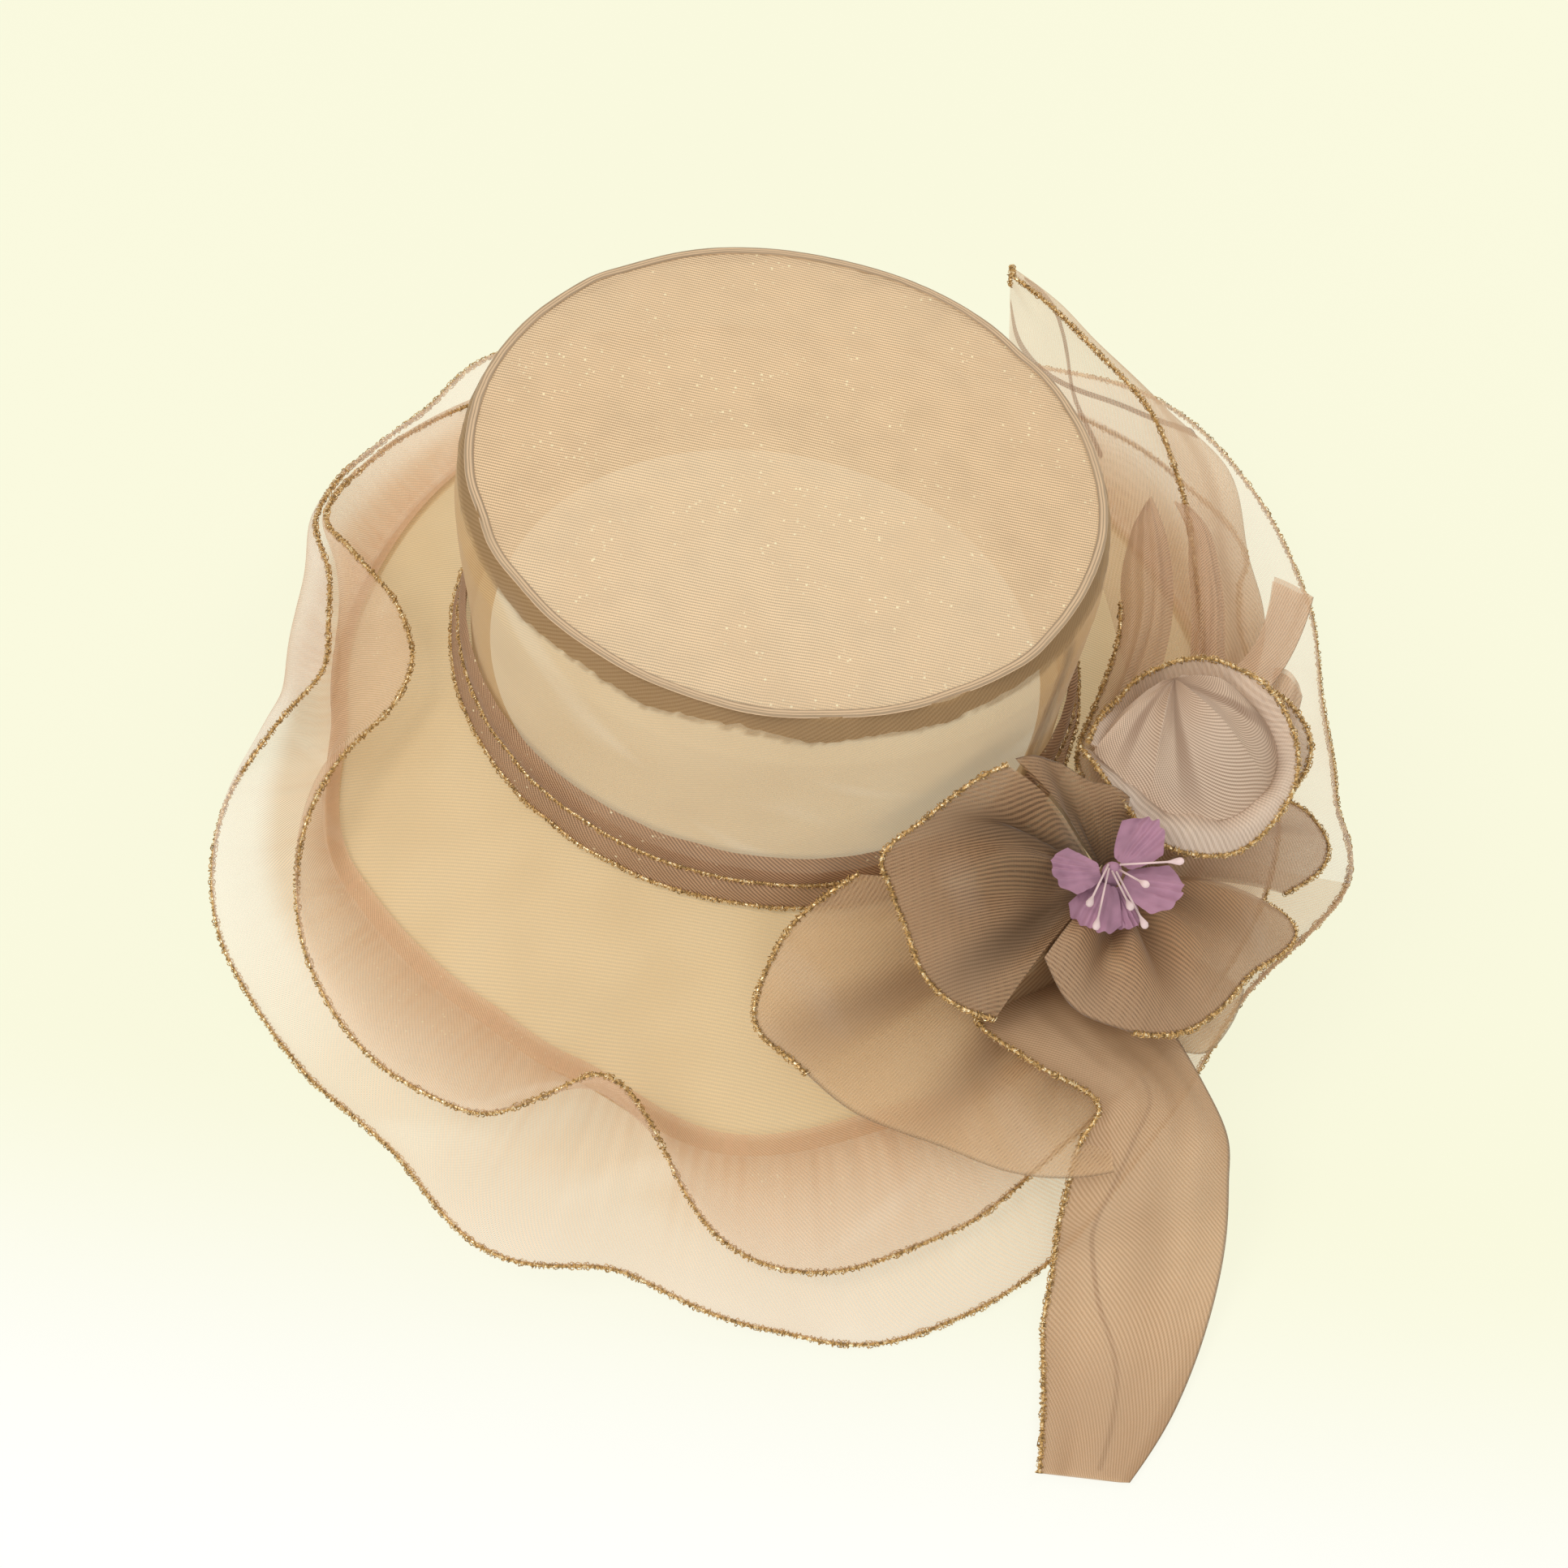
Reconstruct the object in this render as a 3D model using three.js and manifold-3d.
// Organza sun hat: a flat sheer crown, a stiff brim with two ruffles, a folded band, a bow and a rose
// Millimetres, +Z up. While it is modelled, the crown's foot lies at z = 0 with its long axis on X.
// The last lines set the finished hat on the ground, centred over the origin.
import * as THREE from 'three';
import Module from 'manifold-3d';

const wasm = await Module();
wasm.setup();

// Cloth
const clothWall = 1;
const clearance = 0.35;

// Crown
const crownLength = 198.5;
const crownWidth = 186;
const crownHeight = 92;
const crownWall = 1.2;
const crownTaper = 1.7;
const crownLean = 2.4;
const crownBelly = 4.5;
const weltThickness = 2.4;
const allowanceHeight = 8;
const backSeamWidth = 6;
const backSeamTurn = -12;

// Brim and ruffles
const brimReach = 64;
const brimDrop = 25;
const brimWall = 1.6;
const brimTuck = 6;
const brimCurve = 1.4;
const ruffleLap = 5;
const ruffleGap = 0.6;
const lowerRuffleWidth = 58;
const upperRuffleWidth = 50;
const hemDrop = 48;

// Band
const bandHeight = 21;
const bandLap = 4.5;
const bandFlare = 4;

// Bow and rose
const bowThickness = 1;
const heartTurn = -23.4;
const heartReach = 45.6;
const heartHeight = 30;
const roseReach = 60;
const roseFoot = 5;
const knotRadius = 7;
const tieGap = 1.5 * clearance;

// Blossom
const blossomReach = 18;
const blossomRise = 11;
const blossomHeartRadius = 3;
const blossomHeartCrown = 2.4;
const petalSag = 1.4;
const petalPoint = 4;
const stamenRing = 1.9;
const stamenThread = 0.8;
const stamenHead = 2.6;

// Facets
const ringSteps = 44;
const ruffleSteps = 54;
const ruffleSlices = 5;

const crownFoot = brimWall / 2 + clearance;
const lapShare = 1 / ruffleSlices;
const groundLevel = -hemDrop;
const toRadians = Math.PI / 180;
const up = new THREE.Vector3(0, 0, 1);

// A place on the hat: its turn round the crown, its distance from the crown's foot and its height
function hatPlace(turn, out, height) {
  const angle = turn * toRadians;
  return new THREE.Vector3(
    (crownLength / 2 + out) * Math.cos(angle),
    (crownWidth / 2 + out) * Math.sin(angle),
    height,
  );
}

// The same from a bow table: out is a share of the brim, rise a share of the crown or of the hem's drop
function bowPlace([turn, out, rise]) {
  const height = rise > 0 ? rise * crownHeight : rise * hemDrop;
  return hatPlace(turn, out * brimReach, height);
}

function outward(turn, length, rise = 0) {
  return new THREE.Vector3(length * Math.cos(turn * toRadians), length * Math.sin(turn * toRadians), rise);
}

// A smooth curve through four values, read between the second and the third
function through(a, b, c, d, t) {
  const slope = c - a;
  const bend = 2 * a - 5 * b + 4 * c - d;
  const twist = 3 * b - 3 * c + d - a;
  return 0.5 * (2 * b + t * (slope + t * (bend + t * twist)));
}

// Reads a table between its rows. A closed table runs on into its first row, a whole turn later
function readTable(rows, share, closed = false) {
  const last = closed ? rows.length : rows.length - 1;
  const at = Math.min(Math.max(share, 0), 1) * last;
  const first = Math.min(Math.floor(at), last - 1);
  const rowAt = (index) => {
    if (!closed) return { row: rows[Math.min(Math.max(index, 0), rows.length - 1)], lap: 0 };
    const lap = Math.floor(index / rows.length);
    return { row: rows[index - lap * rows.length], lap };
  };
  const four = [first - 1, first, first + 1, first + 2].map(rowAt);
  const result = {};
  for (const column of Object.keys(rows[0])) {
    const values = four.map(({ row, lap }) => (column === 'turn' ? row.turn + 360 * lap : row[column]));
    const blend = (pick) => through(...values.map(pick), at - first);
    result[column] = Array.isArray(values[0])
      ? values[0].map((_, axis) => blend((value) => value[axis]))
      : blend((value) => value);
  }
  return result;
}

function aboveGround(point) {
  point.z = Math.max(point.z, groundLevel + clothWall / 2);
  return point;
}

// Moves the first and the last of a row of points apart
function spreadEnds(points, grow) {
  const [first, second] = points;
  const [beforeLast, last] = points.slice(-2);
  const back = first.clone().sub(second).setLength(grow);
  const on = last.clone().sub(beforeLast).setLength(grow);
  first.add(back);
  last.add(on);
}

// A sheet of cloth: a grid of points given a wall, closed along its borders. Grow widens it on all sides
function sheet(pointAt, steps, slices, wall, { ring = false, grow = 0 } = {}) {
  const columns = ring ? steps : steps + 1;
  const middle = [];
  for (let i = 0; i < columns; i += 1) {
    middle.push([]);
    for (let j = 0; j <= slices; j += 1) middle[i].push(pointAt(i / steps, j / slices));
  }
  if (grow > 0) {
    for (const row of middle) spreadEnds(row, grow);
    for (let j = 0; j <= slices && !ring; j += 1) spreadEnds(middle.map((row) => row[j]), grow);
  }
  const column = (i) => (ring ? (i + columns) % columns : Math.min(Math.max(i, 0), steps));
  const slice = (j) => Math.min(Math.max(j, 0), slices);
  const positions = [];
  for (const side of [0.5, -0.5]) {
    for (let i = 0; i < columns; i += 1) {
      for (let j = 0; j <= slices; j += 1) {
        const along = middle[column(i + 1)][j].clone().sub(middle[column(i - 1)][j]);
        const across = middle[i][slice(j + 1)].clone().sub(middle[i][slice(j - 1)]);
        const normal = along.cross(across).normalize();
        positions.push(...middle[i][j].clone().addScaledVector(normal, side * (wall + 2 * grow)));
      }
    }
  }
  const under = columns * (slices + 1);
  const index = (i, j) => column(i) * (slices + 1) + j;
  const faces = [];
  const quad = (a, b, c, d) => faces.push(a, b, c, a, c, d);
  for (let i = 0; i < steps; i += 1) {
    for (let j = 0; j < slices; j += 1) {
      const corners = [index(i, j), index(i + 1, j), index(i + 1, j + 1), index(i, j + 1)];
      quad(...corners);
      quad(...corners.map((corner) => corner + under).reverse());
    }
    quad(index(i + 1, 0), index(i, 0), index(i, 0) + under, index(i + 1, 0) + under);
    quad(index(i, slices), index(i + 1, slices), index(i + 1, slices) + under, index(i, slices) + under);
  }
  for (let j = 0; j < slices && !ring; j += 1) {
    quad(index(0, j), index(0, j + 1), index(0, j + 1) + under, index(0, j) + under);
    quad(index(steps, j + 1), index(steps, j), index(steps, j) + under, index(steps, j + 1) + under);
  }
  return facingOut(positions, faces);
}

function facingOut(positions, faces) {
  const corner = (k) => new THREE.Vector3(...positions.slice(3 * k, 3 * k + 3));
  let volume = 0;
  for (let f = 0; f < faces.length; f += 3) {
    volume += corner(faces[f]).dot(corner(faces[f + 1]).cross(corner(faces[f + 2])));
  }
  const turned = volume < 0 ? faces.toReversed() : faces;
  const geometry = new THREE.BufferGeometry();
  geometry.setAttribute('position', new THREE.Float32BufferAttribute(positions, 3));
  geometry.setIndex(turned);
  return geometry;
}

function toManifold(geometry) {
  const vertProperties = Float32Array.from(geometry.getAttribute('position').array);
  const triVerts = Uint32Array.from(geometry.getIndex().array);
  return new wasm.Manifold(new wasm.Mesh({ numProp: 3, vertProperties, triVerts }));
}

function toGeometry(solid) {
  const { vertProperties, triVerts } = solid.getMesh();
  const geometry = new THREE.BufferGeometry();
  geometry.setAttribute('position', new THREE.Float32BufferAttribute(vertProperties, 3));
  geometry.setIndex(Array.from(triVerts));
  return geometry;
}

function largest(solid) {
  return solid.decompose().sort((a, b) => b.volume() - a.volume())[0];
}

// Cuts a sheet back where thicker copies of its neighbours reach it
function cutClear(whole, neighbours) {
  const cut = neighbours.reduce((rest, neighbour) => rest.subtract(neighbour), whole);
  return largest(cut);
}

// Crown profile from foot to top: rise is a share of the height, belly a share of the bulge
const crownProfile = [
  { rise: 0, belly: 0 },
  { rise: 0.25, belly: 0.1 },
  { rise: 0.55, belly: 0.6 },
  { rise: 0.8, belly: 1 },
  { rise: 0.93, belly: 0.85 },
  { rise: 1, belly: 0 },
];

// How far the crown's wall stands out from its foot. The soft crown leans a little towards -X
function crownOut(height, turn) {
  const rise = height / crownHeight;
  const next = Math.max(1, crownProfile.findIndex((row) => row.rise >= rise));
  const [low, high] = [crownProfile[next - 1], crownProfile[next]];
  const share = (rise - low.rise) / (high.rise - low.rise);
  const lean = crownLean * Math.cos(turn * toRadians);
  return crownBelly * (low.belly + (high.belly - low.belly) * share) - (crownTaper + lean) * rise;
}

function crownSide() {
  const top = crownHeight - weltThickness / 2;
  const slices = crownProfile.length - 1;
  const pointAt = (u, v) => {
    const { rise } = crownProfile[Math.round(v * slices)];
    const height = crownFoot + rise * (top - crownFoot);
    return hatPlace(360 * u, crownOut(height, 360 * u), height);
  };
  return sheet(pointAt, ringSteps, slices, crownWall, { ring: true });
}

// The welt is a cord round the top corner, and the flat top lies inside it
function crownTop() {
  const outline = new THREE.Shape();
  const inset = (weltThickness + clearance) / 2;
  for (let step = 0; step < ringSteps; step += 1) {
    const turn = (360 * step) / ringSteps;
    const { x, y } = hatPlace(turn, crownOut(crownHeight, turn) - inset, 0);
    if (step === 0) outline.moveTo(x, y);
    else outline.lineTo(x, y);
  }
  const geometry = new THREE.ExtrudeGeometry(outline, { depth: crownWall, bevelEnabled: false });
  geometry.translate(0, 0, crownHeight - crownWall / 2);
  return geometry;
}

function crownWelt() {
  const pointAt = (u, v) => {
    const angle = 360 * v * toRadians;
    const radius = weltThickness / 2;
    const centre = crownOut(crownHeight, 360 * u) + clearance / 2;
    return hatPlace(360 * u, centre + radius * Math.cos(angle), crownHeight + radius * Math.sin(angle));
  };
  return roundRing(pointAt, ringSteps, 5);
}

// A ring with a closed section
function roundRing(pointAt, steps, sides) {
  const positions = [];
  const faces = [];
  for (let i = 0; i < steps; i += 1) {
    for (let j = 0; j < sides; j += 1) {
      positions.push(...pointAt(i / steps, j / sides));
      const [a, b] = [i * sides + j, i * sides + ((j + 1) % sides)];
      const [c, d] = [a, b].map((k) => (k + sides) % (steps * sides));
      faces.push(a, c, b, b, c, d);
    }
  }
  return facingOut(positions, faces);
}

// The flat facets of the crown's wall cut a little inside its true curve
const facetSag = (crownLength / 2) * (1 - Math.cos(Math.PI / ringSteps));
const insideWall = crownWall / 2 + clearance + facetSag + clothWall / 2;
const allowanceTop = crownHeight - crownWall / 2 - clearance - clothWall / 2;

function crownSeamAllowance() {
  const pointAt = (u, v) => {
    const height = allowanceTop - v * allowanceHeight;
    return hatPlace(360 * u, crownOut(height, 360 * u) - insideWall, height);
  };
  return sheet(pointAt, ringSteps, 1, clothWall, { ring: true });
}

function crownBackSeam() {
  const top = allowanceTop - allowanceHeight - clearance - clothWall / 2;
  const foot = crownFoot + clothWall;
  const halfTurn = backSeamWidth / crownLength / toRadians;
  const pointAt = (u, v) => {
    const height = foot + v * (top - foot);
    const turn = backSeamTurn + halfTurn * (2 * u - 1);
    return hatPlace(turn, crownOut(height, turn) - insideWall, height);
  };
  return sheet(pointAt, 1, 5, clothWall);
}

// Brim edge: reach is a share of the brim's reach
const brimEdge = [
  { turn: 0, reach: 0.966 },
  { turn: 30, reach: 0.994 },
  { turn: 60, reach: 0.975 },
  { turn: 90, reach: 0.844 },
  { turn: 120, reach: 0.759 },
  { turn: 150, reach: 0.713 },
  { turn: 180, reach: 0.694 },
  { turn: 210, reach: 0.731 },
  { turn: 235, reach: 0.975 },
  { turn: 258, reach: 0.994 },
  { turn: 270, reach: 1.041 },
  { turn: 288, reach: 1.228 },
  { turn: 308, reach: 1.097 },
  { turn: 332, reach: 1.012 },
];

function brimEdgeOut(turn) {
  const at = ((turn % 360) + 360) % 360;
  const rows = [...brimEdge, { turn: 360, reach: brimEdge[0].reach }];
  const next = rows.findIndex((row, index) => index > 0 && row.turn >= at);
  const [low, high] = [rows[next - 1], rows[next]];
  const share = (at - low.turn) / (high.turn - low.turn);
  const eased = share * share * (3 - 2 * share);
  return brimReach * (low.reach + (high.reach - low.reach) * eased);
}

function brimHeight(turn, out) {
  return -brimDrop * Math.max(out / brimEdgeOut(turn), 0) ** brimCurve;
}

function brim(grow = 0) {
  const pointAt = (u, v) => {
    const turn = 360 * u;
    const out = -brimTuck + v * (brimEdgeOut(turn) + brimTuck);
    return hatPlace(turn, out, brimHeight(turn, out));
  };
  return sheet(pointAt, ringSteps, 4, brimWall, { ring: true, grow });
}

// Ruffle folds round the brim: out and rise are shares of the ruffle's width, from the brim's edge to
// the hem, and roll is how far the cloth curls back towards the crown at its hem
const lowerFolds = [
  { turn: 2, out: 0.78, rise: 0.1, roll: 0.3 },
  { turn: 14, out: 0.7, rise: -0.1, roll: 0 },
  { turn: 28, out: 0.81, rise: -0.39, roll: 0 },
  { turn: 40, out: 0.95, rise: -0.24, roll: 0 },
  { turn: 54, out: 1.03, rise: -0.08, roll: 0 },
  { turn: 68, out: 1.03, rise: -0.04, roll: 0 },
  { turn: 84, out: 0.86, rise: -0.2, roll: 0 },
  { turn: 100, out: 0.66, rise: -0.25, roll: 0.2 },
  { turn: 121, out: 0.84, rise: -0.39, roll: 0 },
  { turn: 143, out: 0.79, rise: -0.18, roll: 0 },
  { turn: 158, out: 0.5, rise: -0.02, roll: 0 },
  { turn: 174, out: 0.42, rise: 0.19, roll: 0.1 },
  { turn: 184, out: 0.34, rise: 0.3, roll: 0.3 },
  { turn: 193, out: 0.1, rise: 0.37, roll: 0.75 },
  { turn: 202, out: 0.02, rise: 0.36, roll: 1 },
  { turn: 209, out: 0.04, rise: 0.36, roll: 1 },
  { turn: 214, out: 0.3, rise: 0.2, roll: 0.6 },
  { turn: 220, out: 0.58, rise: -0.05, roll: 0.2 },
  { turn: 230, out: 0.68, rise: -0.2, roll: 0 },
  { turn: 245, out: 0.7, rise: -0.39, roll: 0 },
  { turn: 258, out: 0.75, rise: -0.26, roll: 0 },
  { turn: 271, out: 0.98, rise: -0.14, roll: 0 },
  { turn: 281, out: 0.7, rise: -0.24, roll: 0 },
  { turn: 292, out: 0.8, rise: -0.33, roll: 0 },
  { turn: 302, out: 0.97, rise: -0.39, roll: 0 },
  { turn: 315, out: 0.85, rise: -0.34, roll: 0 },
  { turn: 330, out: 0.62, rise: -0.24, roll: 0 },
  { turn: 346, out: 0.5, rise: -0.02, roll: 0.2 },
];

const upperFolds = [
  { turn: 0, out: 0.42, rise: 0.12, roll: 0 },
  { turn: 16, out: 0.3, rise: 0.18, roll: 0.3 },
  { turn: 29, out: 0.14, rise: 0.35, roll: 0.6 },
  { turn: 37, out: 0.28, rise: 0.32, roll: 0.5 },
  { turn: 43, out: 0.52, rise: 0.27, roll: 0.1 },
  { turn: 55, out: 0.5, rise: 0.25, roll: 0 },
  { turn: 70, out: 0.32, rise: 0.3, roll: 0.3 },
  { turn: 86, out: 0.5, rise: 0.08, roll: 0 },
  { turn: 102, out: 0.58, rise: -0.05, roll: 0 },
  { turn: 118, out: 0.38, rise: 0.2, roll: 0.3 },
  { turn: 134, out: 0.1, rise: 0.42, roll: 0.7 },
  { turn: 149, out: 0.14, rise: 0.32, roll: 0.4 },
  { turn: 163, out: 0.32, rise: 0.24, roll: 0.2 },
  { turn: 177, out: 0.34, rise: 0.38, roll: 0.3 },
  { turn: 186, out: 0.26, rise: 0.54, roll: 0.5 },
  { turn: 193, out: -0.06, rise: 0.7, roll: 0.9 },
  { turn: 202, out: -0.42, rise: 0.78, roll: 1 },
  { turn: 211, out: -0.54, rise: 0.72, roll: 1 },
  { turn: 219, out: -0.46, rise: 0.62, roll: 1 },
  { turn: 225, out: -0.1, rise: 0.52, roll: 0.7 },
  { turn: 232, out: 0.2, rise: 0.36, roll: 0.3 },
  { turn: 242, out: 0.5, rise: 0.18, roll: 0 },
  { turn: 254, out: 0.64, rise: 0.14, roll: 0 },
  { turn: 264, out: 0.6, rise: 0.22, roll: 0 },
  { turn: 270, out: 0.42, rise: 0.5, roll: 0.4 },
  { turn: 275, out: 0.18, rise: 0.66, roll: 0.7 },
  { turn: 280, out: 0.18, rise: 0.45, roll: 0.4 },
  { turn: 288, out: 0.54, rise: 0.0, roll: 0 },
  { turn: 297, out: 0.73, rise: -0.14, roll: 0 },
  { turn: 308, out: 0.68, rise: -0.12, roll: 0 },
  { turn: 320, out: 0.5, rise: -0.02, roll: 0 },
  { turn: 340, out: 0.4, rise: 0.1, roll: 0 },
];

// Both ruffles are sewn along the brim: a flat lap that follows its slope, then the fall to the hem
function ruffle(folds, side, width, curveAt, steps) {
  const pointAt = (u, v) => {
    const fold = readTable(folds, u, true);
    const edge = brimEdgeOut(fold.turn);
    const slope = (-brimCurve * brimDrop) / edge;
    const apart = side * (brimWall / 2 + ruffleGap + clothWall / 2) * Math.hypot(1, slope);
    const seam = hatPlace(fold.turn, edge - ruffleLap, brimHeight(fold.turn, edge - ruffleLap) + apart);
    const lapReach = ruffleLap + ruffleGap;
    const lapEnd = seam.clone().add(outward(fold.turn, lapReach, lapReach * slope));
    if (v < lapShare) return seam.lerp(lapEnd, v / lapShare);
    const hem = hatPlace(fold.turn, edge + fold.out * width, fold.rise * width - brimDrop);
    const { start, fall } = curveAt(fold, slope);
    const begin = lapEnd.clone().add(outward(fold.turn, start[0] * width, start[1] * width));
    const end = hem.clone().add(outward(fold.turn, fall[0] * width, fall[1] * width));
    const curve = new THREE.CubicBezierCurve3(lapEnd, begin, end, hem);
    return aboveGround(curve.getPoint((v - lapShare) / (1 - lapShare)));
  };
  return sheet(pointAt, steps, ruffleSlices, clothWall, { ring: true });
}

function lowerCurve({ roll }, slope) {
  return { start: [0.16, 0.16 * slope], fall: [0.45 * roll, 0.14 * (1 - roll)] };
}

function upperCurve({ roll }) {
  return { start: [0.25 * (1 - roll), 0.12 + 0.16 * roll], fall: [0.22 * roll, 0.16 * (1 - roll)] };
}

// Both strips of the band are sewn to the crown along their top edge and flare at their lower edge
function bandStrip(topHeight, footHeight, flare) {
  const pointAt = (u, v) => {
    const sewn = crownOut(topHeight, 360 * u) + crownWall / 2 + clearance + clothWall / 2;
    return hatPlace(360 * u, sewn + v * (flare - sewn), topHeight + v * (footHeight - topHeight));
  };
  return sheet(pointAt, ringSteps, 2, clothWall, { ring: true });
}

const bandMiddle = bandHeight / 2;

// A strip of ribbon from section to section. Each section runs from one edge over a crest to the other
function ribbon({ sections, steps, slices }, grow) {
  const pointAt = (u, v) => {
    const { near, far, crest } = readTable(sections, u);
    const from = bowPlace(near);
    const to = bowPlace(far);
    const ridge = from.clone().add(to).multiplyScalar(0.5).addScaledVector(up, crest * from.distanceTo(to));
    return aboveGround(new THREE.QuadraticBezierCurve3(from, ridge, to).getPoint(v));
  };
  return sheet(pointAt, steps, slices, bowThickness, { grow });
}

// The long tail that falls over the brim, from the rose to its cut end
const frontTailSections = [
  { near: [-39, 0.72, 0.02], far: [-29, 0.84, 0.0], crest: 0.0 },
  { near: [-46, 0.919, 0.13], far: [-26, 1.106, 0.05], crest: 0.0 },
  { near: [-43, 1.191, 0.12], far: [-27, 1.331, 0.03], crest: 0.04 },
  { near: [-38, 1.453, 0.01], far: [-27, 1.612, -0.2], crest: 0.1 },
  { near: [-41, 1.575, -0.13], far: [-28, 1.856, -0.33], crest: 0.16 },
  { near: [-44, 1.781, -0.44], far: [-30, 2.016, -0.46], crest: 0.18 },
  { near: [-45, 1.912, -0.72], far: [-32, 2.184, -0.67], crest: 0.16 },
  { near: [-47, 2.128, -0.98], far: [-35, 2.372, -0.86], crest: 0.14 },
  { near: [-49, 2.428, -1.0], far: [-41, 2.681, -0.98], crest: 0.12 },
  { near: [-51, 2.728, -1.0], far: [-46, 2.897, -1.0], crest: 0.1 },
];

// Gathered loops that stand beside the crown
const innerLoopSections = [
  { near: [-14, 0.431, 0.2], far: [-9, 0.675, 0.17], crest: 0 },
  { near: [-10, 0.197, 0.3], far: [-5, 0.45, 0.27], crest: 0.2 },
  { near: [-2, 0.159, 0.4], far: [4, 0.413, 0.36], crest: 0.4 },
  { near: [10, 0.178, 0.48], far: [15, 0.45, 0.42], crest: 0.6 },
  { near: [25, 0.216, 0.46], far: [28, 0.525, 0.4], crest: 0.6 },
  { near: [36, 0.375, 0.41], far: [38, 0.591, 0.39], crest: 0.5 },
  { near: [41, 0.525, 0.4], far: [43, 0.619, 0.39], crest: 0.2 },
];

const outerLoopSections = [
  { near: [-5, 0.581, 0.2], far: [0, 0.741, 0.2], crest: 0.1 },
  { near: [6, 0.581, 0.34], far: [10, 0.769, 0.32], crest: 0.4 },
  { near: [16, 0.563, 0.42], far: [18, 0.759, 0.37], crest: 0.6 },
  { near: [28, 0.619, 0.4], far: [28, 0.806, 0.35], crest: 0.6 },
  { near: [36, 0.703, 0.39], far: [36, 0.844, 0.36], crest: 0.4 },
  { near: [41, 0.713, 0.39], far: [40, 0.806, 0.37], crest: 0.2 },
];

// The long tail that lies behind the loops is folded lengthwise: near is its inner edge, fold its outer
// fold, and flap the gold edge that lies on top
const backTailSections = [
  { near: [0, 0.6, 0.0], fold: [4, 0.731, 0.02], flap: [3, 0.675, 0.06] },
  { near: [10, 0.394, 0.12], fold: [20, 0.956, 0.2], flap: [15, 0.675, 0.25] },
  { near: [24, 0.291, 0.14], fold: [34, 1.012, 0.22], flap: [31, 0.731, 0.27] },
  { near: [42, 0.291, 0.19], fold: [46, 1.144, 0.26], flap: [47, 0.9, 0.31] },
  { near: [56, 0.384, 0.24], fold: [57, 1.153, 0.27], flap: [57, 1.031, 0.33] },
  { near: [67, 0.525, 0.25], fold: [68, 1.256, 0.28], flap: [68, 1.134, 0.33] },
  { near: [76, 0.806, 0.27], fold: [76, 1.416, 0.28], flap: [77, 1.266, 0.33] },
  { near: [81, 1.181, 0.28], fold: [83, 1.416, 0.29], flap: [82, 1.303, 0.33] },
];

// The share of the tail's width that the under layer takes, and how far the fold runs past its table
const underShare = 0.6;
const foldReach = 0.12;

function foldedTail({ sections, steps }, grow) {
  const pointAt = (u, v) => {
    const { near, fold, flap } = readTable(sections, u);
    const [inner, outer, gold] = [near, fold, flap].map(bowPlace);
    const beyond = outer.clone().add(outer.clone().sub(inner).multiplyScalar(foldReach));
    const under = inner.clone().lerp(beyond, Math.min(v / underShare, 1));
    const flapShare = Math.max((v - underShare) / (1 - underShare), 0);
    const over = beyond.clone().addScaledVector(up, gold.z - outer.z).lerp(gold, flapShare);
    const eased = THREE.MathUtils.smoothstep(v, 0.5, 0.75);
    return under.lerp(over, eased);
  };
  return sheet(pointAt, steps, 6, bowThickness, { grow });
}

const stubSections = [
  { near: [-2, 0.675, 0.22], far: [-2, 0.75, 0.2], crest: 0 },
  { near: [4, 0.694, 0.33], far: [4, 0.825, 0.31], crest: 0.05 },
  { near: [10, 0.731, 0.37], far: [9, 0.938, 0.36], crest: 0.1 },
  { near: [18, 0.919, 0.38], far: [16, 1.087, 0.37], crest: 0.1 },
  { near: [28, 1.087, 0.37], far: [25, 1.266, 0.37], crest: 0.1 },
];

const rolledStubSections = [
  { near: [2, 0.731, 0.12], far: [0, 0.769, 0.12], crest: 0 },
  { near: [4, 0.9, 0.2], far: [2, 0.975, 0.18], crest: 0.2 },
  { near: [7, 0.994, 0.29], far: [4, 1.106, 0.27], crest: 0.5 },
  { near: [11, 1.012, 0.31], far: [8, 1.144, 0.28], crest: 0.7 },
  { near: [16, 1.031, 0.31], far: [13, 1.181, 0.29], crest: 0.7 },
];

// The rose: petals fan out from its heart. Lengths in their tables are shares of the rose's reach
const heart = hatPlace(heartTurn, heartReach, heartHeight);

const leftPetal = [
  { turn: 179, reach: 0.68, rise: 0.53, bow: 0.1 },
  { turn: 190, reach: 0.86, rise: 0.43, bow: 0.12 },
  { turn: 198, reach: 1.02, rise: 0.32, bow: 0.2 },
  { turn: 205, reach: 1.21, rise: 0.18, bow: 0.2 },
  { turn: 212, reach: 1.18, rise: 0.08, bow: 0.22 },
  { turn: 222, reach: 1.15, rise: 0, bow: 0.15 },
  { turn: 233, reach: 1.15, rise: -0.07, bow: 0.2 },
  { turn: 244, reach: 1.08, rise: -0.13, bow: 0.18 },
  { turn: 252, reach: 0.98, rise: -0.2, bow: 0.2 },
];

const innerPetal = [
  { turn: 138, reach: 0.36, rise: 0.26, bow: 0 },
  { turn: 152, reach: 0.5, rise: 0.4, bow: -0.04 },
  { turn: 164, reach: 0.58, rise: 0.5, bow: 0.04 },
  { turn: 174, reach: 0.66, rise: 0.53, bow: 0.08 },
];

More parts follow.
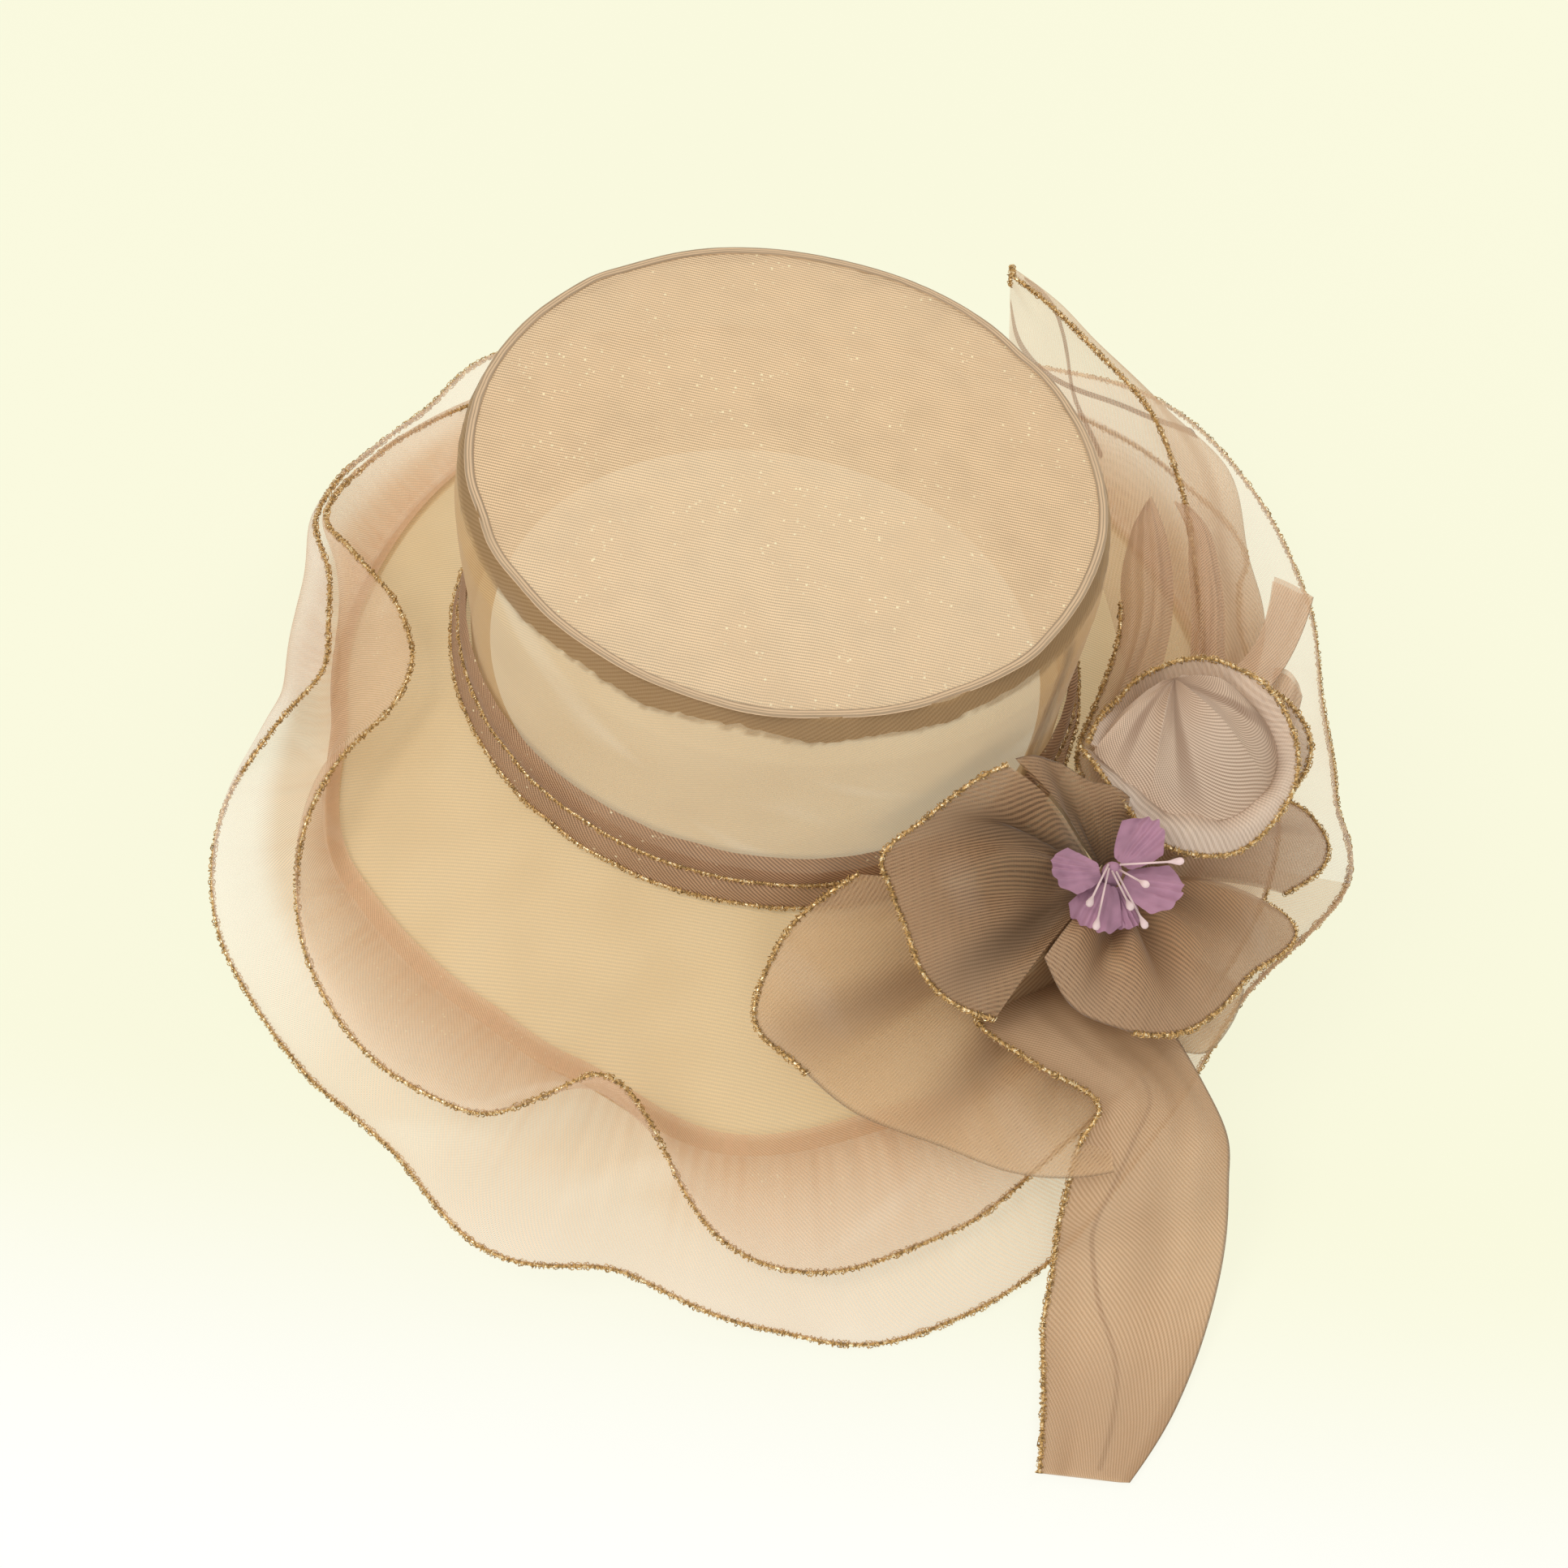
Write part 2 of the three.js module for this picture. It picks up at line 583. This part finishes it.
const frontPetal = [
  { turn: 254, reach: 0.66, rise: 0.02, bow: 0.14 },
  { turn: 270, reach: 0.72, rise: -0.14, bow: 0.2 },
  { turn: 286, reach: 0.73, rise: -0.24, bow: 0.12 },
  { turn: 304, reach: 0.75, rise: -0.34, bow: 0.2 },
  { turn: 322, reach: 0.77, rise: -0.4, bow: 0.12 },
  { turn: 340, reach: 0.78, rise: -0.44, bow: 0.2 },
  { turn: 362, reach: 0.84, rise: -0.46, bow: 0.14 },
  { turn: 380, reach: 1.06, rise: -0.46, bow: 0.2 },
  { turn: 390, reach: 0.9, rise: -0.42, bow: 0.16 },
];

const rightPetal = [
  { turn: 33, reach: 1.05, rise: -0.46, bow: 0.16 },
  { turn: 38, reach: 1.3, rise: -0.45, bow: 0.18 },
  { turn: 44, reach: 1.4, rise: -0.42, bow: 0.22 },
  { turn: 51, reach: 1.36, rise: -0.36, bow: 0.16 },
  { turn: 58, reach: 1.22, rise: -0.3, bow: 0.16 },
];

const underPetal = [
  { turn: 328, reach: 0.78, rise: -0.66, bow: 0.02 },
  { turn: 336, reach: 0.97, rise: -0.66, bow: 0.05 },
  { turn: 347, reach: 0.97, rise: -0.62, bow: 0.08 },
  { turn: 360, reach: 0.9, rise: -0.58, bow: 0.08 },
];

// The wide loop towards the front fans out from under the rose
const frontLoop = [
  { turn: 203, reach: 1.3, rise: -0.08, bow: 0.06 },
  { turn: 208, reach: 1.58, rise: -0.27, bow: 0.08 },
  { turn: 214, reach: 1.75, rise: -0.38, bow: 0.1 },
  { turn: 222, reach: 1.9, rise: -0.5, bow: 0.14 },
  { turn: 230, reach: 1.78, rise: -0.57, bow: 0.14 },
  { turn: 242, reach: 1.72, rise: -0.53, bow: 0.12 },
  { turn: 256, reach: 1.57, rise: -0.5, bow: 0.04 },
  { turn: 270, reach: 1.5, rise: -0.55, bow: -0.01 },
  { turn: 281, reach: 1.42, rise: -0.6, bow: -0.03 },
];

// How far along a rib its bow stands highest
const swellShare = 0.45;

// A petal: a fan of ribs from the rose's heart. Drop is how far its foot lies under the centre
function fan({ ribs, centre, drop, steps, slices }, grow) {
  const pointAt = (u, v) => {
    const { turn, reach, rise, bow } = readTable(ribs, u);
    const foot = centre.clone().add(outward(turn, roseFoot, -drop));
    const edge = centre.clone().add(outward(turn, reach * roseReach, rise * roseReach));
    const swell = foot.clone().lerp(edge, swellShare).addScaledVector(up, 2 * bow * roseReach);
    return new THREE.QuadraticBezierCurve3(foot, swell, edge).getPoint(v);
  };
  return sheet(pointAt, steps, slices, bowThickness, { grow });
}

// The cup: a deep petal that opens upwards beside the crown, its near rim rolled out
const cupCentre = hatPlace(heartTurn + 17.5, heartReach - 1, heartHeight);

const cupRibs = [
  { turn: 206, reach: 0.62, rise: 0.36, bow: 0.02 },
  { turn: 222, reach: 0.52, rise: 0.31, bow: 0.08 },
  { turn: 243, reach: 0.43, rise: 0.23, bow: 0.12 },
  { turn: 266, reach: 0.42, rise: 0.19, bow: 0.14 },
  { turn: 291, reach: 0.41, rise: 0.17, bow: 0.16 },
  { turn: 316, reach: 0.43, rise: 0.2, bow: 0.12 },
  { turn: 341, reach: 0.44, rise: 0.27, bow: 0.06 },
  { turn: 362, reach: 0.47, rise: 0.34, bow: -0.02 },
  { turn: 385, reach: 0.48, rise: 0.42, bow: -0.06 },
  { turn: 410, reach: 0.45, rise: 0.5, bow: -0.08 },
  { turn: 436, reach: 0.4, rise: 0.56, bow: -0.1 },
  { turn: 462, reach: 0.38, rise: 0.58, bow: -0.1 },
  { turn: 490, reach: 0.4, rise: 0.54, bow: -0.1 },
  { turn: 516, reach: 0.44, rise: 0.46, bow: -0.08 },
  { turn: 534, reach: 0.46, rise: 0.4, bow: -0.06 },
];

const cupBackRibs = [
  { turn: 8, reach: 0.53, rise: 0.15, bow: 0 },
  { turn: 20, reach: 0.6, rise: 0.22, bow: 0 },
  { turn: 32, reach: 0.62, rise: 0.31, bow: -0.02 },
  { turn: 48, reach: 0.56, rise: 0.4, bow: -0.04 },
  { turn: 62, reach: 0.5, rise: 0.43, bow: -0.04 },
];

// The plain knot that the rose and the bow are tied round: its lumps stand on the brim in a row.
// Turns are degrees, out is a share of the brim's reach, top a share of the rose's height
const knotLumps = [
  { turn: -32, out: 0.788, top: 0.6 },
  { turn: heartTurn, out: heartReach / brimReach, top: 0.98 },
  { turn: -6, out: 0.694, top: 0.86 },
  { turn: 4, out: 0.713, top: 0.72 },
];

function flowerKnot(grow) {
  const lumps = knotLumps.map(({ turn, out, top }) => {
    const place = hatPlace(turn, out * brimReach, brimHeight(turn, out * brimReach) - 2 * brimWall);
    const height = top * heartHeight - clearance + grow - place.z;
    const radius = knotRadius + grow;
    return wasm.Manifold.cylinder(height, radius, radius * 0.75, 10).translate(place.toArray());
  });
  const links = lumps.slice(1).map((lump, index) => wasm.Manifold.hull([lumps[index], lump]));
  return links.reduce((whole, link) => whole.add(link));
}

// A turned solid from pairs of radius and height, the first and the last on its axis
function lathe(profile, sides) {
  const positions = [0, 0, profile[0][1]];
  const faces = [];
  const rings = profile.slice(1, -1);
  for (const [radius, height] of rings) {
    for (let side = 0; side < sides; side += 1) {
      const angle = (2 * Math.PI * side) / sides;
      positions.push(radius * Math.cos(angle), radius * Math.sin(angle), height);
    }
  }
  positions.push(0, 0, profile.at(-1)[1]);
  const tip = positions.length / 3 - 1;
  for (let side = 0; side < sides; side += 1) {
    const next = (side + 1) % sides;
    faces.push(0, 1 + next, 1 + side);
    for (let ring = 0; ring < rings.length - 1; ring += 1) {
      const [a, b] = [1 + ring * sides + side, 1 + ring * sides + next];
      faces.push(a, b, b + sides, a, b + sides, a + sides);
    }
    const lastRing = 1 + (rings.length - 1) * sides;
    faces.push(lastRing + side, lastRing + next, tip);
  }
  return facingOut(positions, faces);
}

// The blossom sits on the rose's heart and leans towards the front
const blossomCentre = heart.clone().add(new THREE.Vector3(-1, -7, blossomRise));

const blossomPetals = [
  { turn: 66, reach: 0.78, rise: 0.42, spread: 42, layer: 0 },
  { turn: -2, reach: 0.96, rise: 0.2, spread: 48, layer: -1 },
  { turn: -48, reach: 0.74, rise: -0.16, spread: 28, layer: -2 },
  { turn: -92, reach: 0.9, rise: -0.12, spread: 44, layer: -1 },
  { turn: -152, reach: 0.86, rise: 0.14, spread: 42, layer: 0 },
];

const stamens = [
  { root: 45, turn: 13, reach: 18.7, rise: 12 },
  { root: -15, turn: -43, reach: 14.4, rise: 14 },
  { root: -55, turn: -54, reach: 24.5, rise: 8 },
  { root: -95, turn: -64, reach: 19.5, rise: 11 },
  { root: -135, turn: -88, reach: 26.5, rise: 8 },
  { root: -175, turn: -99, reach: 21.3, rise: 10 },
];

function blossomPetal({ turn, reach, rise, spread, layer }) {
  const pointAt = (u, v) => {
    const side = 2 * u - 1;
    const fullness = Math.sin(Math.PI * (v * 0.86 + 0.04)) ** 0.8;
    const half = spread * toRadians * 0.5 * blossomReach * fullness;
    const root = blossomHeartRadius + clearance + clothWall / 2;
    const length = root + v * (reach * blossomReach - petalPoint * side * side);
    const sag = petalSag * Math.cos(Math.PI * side);
    const height = rise * blossomReach * v ** 1.3 + sag * v + layer * (clothWall + 2 * clearance);
    return new THREE.Vector3(length, side * half, height);
  };
  return sheet(pointAt, 4, 4, clothWall).rotateZ(turn * toRadians);
}

function stamen(length) {
  const thread = stamenThread / 2;
  const head = stamenHead / 2;
  const profile = [
    [0, 0],
    [thread, 0],
    [thread, length - 2 * head],
    [head, length - head],
    [head * 0.7, length - head * 0.3],
    [0, length],
  ];
  return lathe(profile, 6);
}

// Colours read by eye from the real cloth
const finishes = {
  crownOrganza: { color: 0xd6be96, roughness: 0.55 },
  brimOrganza: { color: 0xdcc594, roughness: 0.55 },
  seamCloth: { color: 0x9d8766, roughness: 0.7 },
  ruffleOrganza: { color: 0xe3c8ae, roughness: 0.5 },
  bowOrganza: { color: 0xb79c7b, roughness: 0.5 },
  blossomSilk: { color: 0xb28aab, roughness: 0.8 },
  stamenWax: { color: 0xe4cfd8, roughness: 0.5 },
};

const hat = new THREE.Group();

function add(name, geometry, finish) {
  const material = new THREE.MeshStandardMaterial({ ...finishes[finish], metalness: 0 });
  const mesh = new THREE.Mesh(geometry, material);
  mesh.name = name;
  hat.add(mesh);
  return mesh;
}

add('crown_top', crownTop(), 'crownOrganza');
add('crown_side', crownSide(), 'crownOrganza');
add('crown_welt', crownWelt(), 'seamCloth');
add('crown_seam_allowance', crownSeamAllowance(), 'seamCloth');
add('crown_back_seam', crownBackSeam(), 'seamCloth');
add('brim', brim(), 'brimOrganza');
add('ruffle_lower', ruffle(lowerFolds, -1, lowerRuffleWidth, lowerCurve, ruffleSteps), 'ruffleOrganza');
add('ruffle_upper', ruffle(upperFolds, 1, upperRuffleWidth, upperCurve, ruffleSteps), 'ruffleOrganza');
add('band_lower', bandStrip(bandMiddle + bandLap / 2, crownFoot, bandFlare), 'bowOrganza');
add('band_upper', bandStrip(bandHeight, bandMiddle - bandLap / 2, bandFlare + clothWall), 'bowOrganza');

// Petals, loops and tails in the order in which they are tied on. Each is cut clear of those before it
const tied = [
  { name: 'bow_tail_front', shape: ribbon, sections: frontTailSections, steps: 18, slices: 4 },
  { name: 'bow_loop_front', shape: fan, ribs: frontLoop, centre: heart, drop: 22, steps: 14, slices: 5 },
  { name: 'rose_petal_under', shape: fan, ribs: underPetal, centre: heart, drop: 26, steps: 5, slices: 4 },
  { name: 'rose_petal_right', shape: fan, ribs: rightPetal, centre: heart, drop: 12, steps: 6, slices: 5 },
  { name: 'rose_petal_front', shape: fan, ribs: frontPetal, centre: heart, drop: 8, steps: 16, slices: 4 },
  { name: 'rose_petal_left', shape: fan, ribs: leftPetal, centre: heart, drop: 4, steps: 14, slices: 5 },
  { name: 'rose_petal_inner', shape: fan, ribs: innerPetal, centre: heart, drop: 2, steps: 6, slices: 5 },
  { name: 'rose_cup', shape: fan, ribs: cupRibs, centre: cupCentre, drop: 5, steps: 21, slices: 4 },
  { name: 'rose_cup_back', shape: fan, ribs: cupBackRibs, centre: cupCentre, drop: 8, steps: 6, slices: 4 },
  { name: 'bow_tail_back', shape: foldedTail, sections: backTailSections, steps: 14 },
  { name: 'bow_loop_inner', shape: ribbon, sections: innerLoopSections, steps: 10, slices: 4 },
  { name: 'bow_loop_outer', shape: ribbon, sections: outerLoopSections, steps: 10, slices: 4 },
  { name: 'bow_stub', shape: ribbon, sections: stubSections, steps: 4, slices: 3 },
  { name: 'bow_stub_rolled', shape: ribbon, sections: rolledStubSections, steps: 4, slices: 4 },
];

add('flower_base', toGeometry(cutClear(flowerKnot(0), [toManifold(brim(clearance))])), 'bowOrganza');
const taken = [flowerKnot(tieGap)];
for (const piece of tied) {
  const whole = toManifold(piece.shape(piece, 0));
  add(piece.name, toGeometry(cutClear(whole, taken)), 'bowOrganza');
  taken.push(toManifold(piece.shape(piece, tieGap)));
}

blossomPetals.forEach((petal, index) => {
  const geometry = blossomPetal(petal);
  add(`blossom_petal_${index + 1}`, geometry, 'blossomSilk').position.copy(blossomCentre);
});

const blossomHeartFoot = heartHeight + clearance - blossomCentre.z;
const blossomHeartProfile = [
  [0, blossomHeartFoot],
  [blossomHeartRadius * 0.9, blossomHeartFoot],
  [blossomHeartRadius, 0],
  [blossomHeartRadius * 0.7, blossomHeartCrown - 0.4],
  [0, blossomHeartCrown],
];
add('blossom_heart', lathe(blossomHeartProfile, 8), 'blossomSilk').position.copy(blossomCentre);

stamens.forEach(({ root, turn, reach, rise }, index) => {
  const start = outward(root, stamenRing, blossomHeartCrown - 0.2 + clearance);
  const direction = outward(turn, reach, rise).sub(start);
  const mesh = add(`stamen_${index + 1}`, stamen(direction.length()), 'stamenWax');
  mesh.position.copy(blossomCentre).add(start);
  mesh.quaternion.setFromUnitVectors(up, direction.normalize());
});

const box = new THREE.Box3().setFromObject(hat);
hat.position.set(-(box.min.x + box.max.x) / 2, -(box.min.y + box.max.y) / 2, -box.min.z);

export default hat;
